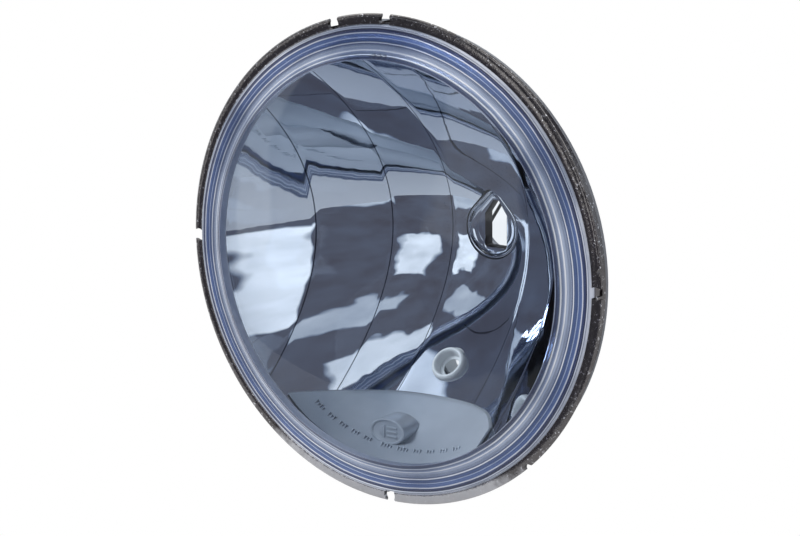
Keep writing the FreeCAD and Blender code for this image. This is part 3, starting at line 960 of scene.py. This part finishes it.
def softCopy(nodeName, newName, width, finishName, slotName):
    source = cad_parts[nodeName]
    copy = bpy.data.objects.new(newName, source.data.copy())
    bpy.context.scene.collection.objects.link(copy)
    tidyMesh(copy, 0.002 * mm)
    bpy.ops.object.mode_set(mode="EDIT")
    bpy.ops.mesh.select_all(action="SELECT")
    bpy.ops.mesh.dissolve_limited(angle_limit=math.radians(flatEnough))
    bpy.ops.object.mode_set(mode="OBJECT")
    softenEdges(copy, width * mm, 2, 40)
    smooth(copy, 38)
    wear(copy, finishes[finishName])
    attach(copy, "lamp")
    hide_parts(nodeName)


for nodeName, makeUp in pressed.items():
    softCopy(nodeName, *makeUp)
print("small parts", len(pressed))


# Finishes of the CAD nodes that stay

for nodeName, finishName in {"lens_sealant": "rimSealant", "reflector": "bowlBack"}.items():
    wear(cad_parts[nodeName], finishes[finishName])


# Stage, light and camera

stage = {"floorDrop": 0.4 * mm, "floorFront": -0.075, "floorBack": 1.6, "floorHalf": 1.2,
         "floorGlow": 1.0, "dark": (0.44, 0.44, 0.45, 1), "light": (0.50, 0.50, 0.51, 1)}


def makeFloor():
    deselectAll()
    front, back = stage["floorFront"], stage["floorBack"]
    height = cadLow.z - stage["floorDrop"]
    bpy.ops.mesh.primitive_plane_add(size=1, location=(0, (front + back) / 2, height))
    floor = bpy.context.object
    floor.name = "floor"
    floor.scale = (2 * stage["floorHalf"], back - front, 1)
    settle(floor)
    finish, tree, shader = newFinish("paleFloor")
    cloud = noise(tree, place(tree), 3.0, 2.0)
    plug(tree, shader.inputs["Base Color"], mixed(tree, cloud, stage["dark"], stage["light"]))
    shader.inputs["Roughness"].default_value = 0.8
    values = {"Color": (1, 1, 1, 1), "Strength": stage["floorGlow"]}
    glow = node(tree, "ShaderNodeEmission", {}, values)
    seen = node(tree, "ShaderNodeLightPath", {}, [], "Is Camera Ray")
    lit = Wire(tree, shader.outputs["BSDF"])
    blend = node(tree, "ShaderNodeMixShader", {}, [seen, lit, glow])
    plug(tree, tree.nodes["Material Output"].inputs["Surface"], blend)
    wear(floor, finish)


studio = {
    "base": 0.14, "soft": 1.6, "wander": 9.0, "wanderScale": 3.0, "contrast": 1.3,
    "mottle": 7.0, "mottleFrom": 0.6, "mottleBy": 0.8,
    "tones": [(0.0, (0.004, 0.003, 0.004)), (0.05, (0.048, 0.043, 0.050)), (0.12, (0.096, 0.108, 0.138)),
              (0.26, (0.245, 0.262, 0.290)), (0.5, (0.50, 0.505, 0.515)), (1.0, (1.0, 1.0, 1.0))],
    "boxes": [  # bearing and height of the centre, half width and half height in degrees, then brightness
        (-60, 10, 5, 22, 0.8),
        (-15, 10, 7, 16, 0.8),
        (30, 10, 7, 16, 0.7),
        (75, 10, 5, 22, 0.8),
        (0, 68, 60, 8, 0.6),
        (-40, 42, 20, 5, 0.35),
        (50, 42, 20, 5, 0.35),
        (-20, -35, 18, 8, 0.4),
        (60, -35, 18, 8, 0.4),
        (110, 15, 14, 30, 0.45),
        (-100, 20, 22, 34, 0.45),
        (180, 60, 90, 24, 0.8),
        (180, 5, 50, 16, 0.25),
    ],
}


def makeSky():
    # A dim grey studio with soft boxes hung about it for the bright metal to pick up.
    world = bpy.data.worlds.new("studio")
    bpy.context.scene.world = world
    world.use_nodes = True
    tree = world.node_tree
    where = node(tree, "ShaderNodeTexCoord", {}, [], "Generated")
    x, y, z = (axis(tree, where, i) for i in range(3))
    degrees = 180 / math.pi
    drift = noise(tree, where, studio["wanderScale"], 2.0) - 0.5
    sway = noise(tree, where, studio["wanderScale"] * 1.7, 2.0) - 0.5
    bearing = x.maths("ARCTAN2", x, y * -1) * degrees + drift * studio["wander"] * 2
    height = z.maths("ARCSINE", z, 0) * degrees + sway * studio["wander"] * 2
    glow = None
    for turn, rise, halfWidth, halfHeight, bright in studio["boxes"]:
        apart = wrapped(bearing - turn)
        across = (halfWidth - apart.maths("ABSOLUTE", apart, 0)) / studio["soft"] + 0.5
        gap = height - rise
        upward = (halfHeight - gap.maths("ABSOLUTE", gap, 0)) / studio["soft"] + 0.5
        across.socket.node.use_clamp = True
        upward.socket.node.use_clamp = True
        lit = across * upward * bright
        glow = lit if glow is None else glow + lit
    mottle = noise(tree, where, studio["mottle"], 2.0)
    level = glow * studio["contrast"] + studio["base"]
    level = level * (mottle * studio["mottleBy"] + studio["mottleFrom"])
    shade = ramp(tree, level * 0.5, studio["tones"])
    grey = mixed(tree, 1.0, shade, (2, 2, 2, 1), "MULTIPLY")  # undoes the halving
    white = node(tree, "ShaderNodeBackground", {}, {"Color": (1, 1, 1, 1), "Strength": 1.0})
    room = node(tree, "ShaderNodeBackground", {}, {"Color": grey, "Strength": 1.0})
    seen = node(tree, "ShaderNodeLightPath", {}, [], "Is Camera Ray")
    blend = node(tree, "ShaderNodeMixShader", {}, [seen, room, white])
    plug(tree, tree.nodes["World Output"].inputs["Surface"], blend)


def wrapped(angle):
    # Brings a difference of bearings to between -180 and 180 degrees.
    values = {0: angle, 1: 180.0, 2: -180.0}
    return node(angle.tree, "ShaderNodeMath", {"operation": "WRAP"}, values)


keyLight = {"size": 0.6, "where": (-0.9, -1.3, 1.4), "target": (0, 0, -0.03), "power": 46}


def addKeyLight():
    deselectAll()
    bpy.ops.object.light_add(type="AREA", location=keyLight["where"])
    lamp = bpy.context.object
    lamp.name = "keyLight"
    lamp.data.shape = "RECTANGLE"
    lamp.data.size = lamp.data.size_y = keyLight["size"]
    lamp.data.energy = keyLight["power"]
    lamp.visible_glossy = False  # its light only fills, so it leaves no square in the bright metal
    aim = Vector(keyLight["target"]) - Vector(keyLight["where"])
    lamp.rotation_euler = aim.to_track_quat("-Z", "Y").to_euler()


view = {"turn": 35.87, "rise": 12.95, "roll": -0.62, "distance": 11.09 * 110.0 * mm, "lens": 124.7,
        "shift": (0.0164, -0.0065)}


def makeCamera():
    # Long lens, right of the axis and a little above; the shift keeps the lamp just off centre.
    turn, rise, roll = (math.radians(view[key]) for key in ("turn", "rise", "roll"))
    back = Vector((math.sin(turn) * math.cos(rise), -math.cos(turn) * math.cos(rise), math.sin(rise)))
    right = Vector((math.cos(turn), math.sin(turn), 0))
    up = back.cross(right)
    rolledRight = math.cos(roll) * right + math.sin(roll) * up
    rolledUp = math.cos(roll) * up - math.sin(roll) * right
    cameraData = bpy.data.cameras.new("camera")
    camera = bpy.data.objects.new("camera", cameraData)
    bpy.context.scene.collection.objects.link(camera)
    facing = Matrix((rolledRight, rolledUp, back)).transposed()
    camera.matrix_world = Matrix.Translation(back * view["distance"]) @ facing.to_4x4()
    cameraData.lens = view["lens"]
    cameraData.shift_x, cameraData.shift_y = view["shift"]
    cameraData.clip_start = 0.01
    bpy.context.scene.camera = camera


makeFloor()
makeSky()
addKeyLight()
makeCamera()
bpy.context.scene.view_settings.view_transform = "Standard"
print("stage set")
